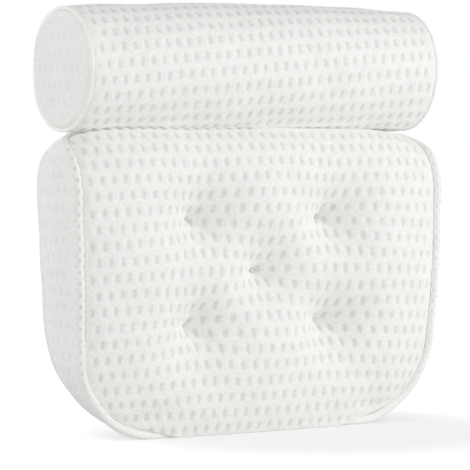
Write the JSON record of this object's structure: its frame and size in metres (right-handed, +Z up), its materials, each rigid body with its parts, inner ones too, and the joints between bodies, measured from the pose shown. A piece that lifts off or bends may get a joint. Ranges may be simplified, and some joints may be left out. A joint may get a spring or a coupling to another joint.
{
  "type": "bath pillow",
  "caption": "Bath pillow with a tufted mesh back pad, a round neck roll that folds on a sewn web along the pad's top, swivelling suction cups behind and a hook on a loop.",
  "frame": {"origin": "on the floor under the middle of the box that holds the whole part", "axes": "+X to the right seen from the front, +Y towards the back where the suction cups are, +Z up"},
  "size_m": [0.3874, 0.1264, 0.3793],
  "materials": {
    "mesh_fabric": "white dimpled spacer mesh",
    "net_fabric": "white open net",
    "piping_fabric": "white folded mesh",
    "filling_fibre": "white fibre",
    "thread": "white polyester cord",
    "webbing": "white woven tape",
    "clear_pvc": "clear soft PVC",
    "white_plastic": "white moulded"
  },
  "bodies": {
    "back_pad": {"pad_front_panel": "mesh_fabric", "pad_side_band": "mesh_fabric", "pad_back_panel": "net_fabric", "pad_front_piping": "piping_fabric", "pad_back_piping": "piping_fabric", "pad_filling": "filling_fibre", "tuft_tie_1": "thread", "tuft_tie_2": "thread", "tuft_tie_3": "thread", "tuft_tie_4": "thread", "tuft_tie_5": "thread", "tuft_washer_1": "webbing", "tuft_washer_2": "webbing", "tuft_washer_3": "webbing", "tuft_washer_4": "webbing", "tuft_washer_5": "webbing", "web_lower_leaf": "webbing", "pad_upper_left_pocket": "webbing", "pad_upper_left_eyelet": "white_plastic", "pad_upper_right_pocket": "webbing", "pad_upper_right_eyelet": "white_plastic", "pad_lower_left_pocket": "webbing", "pad_lower_left_eyelet": "white_plastic", "pad_lower_right_pocket": "webbing", "pad_lower_right_eyelet": "white_plastic"},
    "neck_roll": {"web_upper_leaf": "webbing", "roll_wrap": "mesh_fabric", "roll_left_cap": "mesh_fabric", "roll_right_cap": "mesh_fabric", "roll_left_piping": "piping_fabric", "roll_right_piping": "piping_fabric", "roll_filling": "filling_fibre", "roll_left_pocket": "webbing", "roll_left_eyelet": "white_plastic", "roll_right_pocket": "webbing", "roll_right_eyelet": "white_plastic", "hanging_loop": "webbing"},
    "pad_upper_left_suction": {"pad_upper_left_cup": "clear_pvc"},
    "pad_upper_right_suction": {"pad_upper_right_cup": "clear_pvc"},
    "pad_lower_left_suction": {"pad_lower_left_cup": "clear_pvc"},
    "pad_lower_right_suction": {"pad_lower_right_cup": "clear_pvc"},
    "roll_left_suction": {"roll_left_cup": "clear_pvc"},
    "roll_right_suction": {"roll_right_cup": "clear_pvc"},
    "hook": {"hanging_hook": "white_plastic"}
  },
  "joints": [
    {"name": "roll_fold", "type": "hinge", "parent": "back_pad", "child": "neck_roll", "pos_m": [0, 0.0432, 0.28731], "axis": [-1, 0, 0], "range_deg": [0, 90]},
    {"name": "pad_upper_left_swivel", "type": "hinge", "parent": "back_pad", "child": "pad_upper_left_suction", "pos_m": [-0.108, 0.0369, 0.183], "axis": [0, 1, 0], "continuous": true},
    {"name": "pad_upper_right_swivel", "type": "hinge", "parent": "back_pad", "child": "pad_upper_right_suction", "pos_m": [0.108, 0.0369, 0.183], "axis": [0, 1, 0], "continuous": true},
    {"name": "pad_lower_left_swivel", "type": "hinge", "parent": "back_pad", "child": "pad_lower_left_suction", "pos_m": [-0.108, 0.0369, 0.074], "axis": [0, 1, 0], "continuous": true},
    {"name": "pad_lower_right_swivel", "type": "hinge", "parent": "back_pad", "child": "pad_lower_right_suction", "pos_m": [0.108, 0.0369, 0.074], "axis": [0, 1, 0], "continuous": true},
    {"name": "roll_left_swivel", "type": "hinge", "parent": "neck_roll", "child": "roll_left_suction", "pos_m": [-0.1325, 0.0409, 0.3223], "axis": [0, 1, 0], "continuous": true},
    {"name": "roll_right_swivel", "type": "hinge", "parent": "neck_roll", "child": "roll_right_suction", "pos_m": [0.1325, 0.0409, 0.3223], "axis": [0, 1, 0], "continuous": true},
    {"name": "hook_swing", "type": "hinge", "parent": "neck_roll", "child": "hook", "pos_m": [0, 0.0459, 0.3253], "axis": [1, 0, 0], "range_deg": [0, 120]}
  ]
}
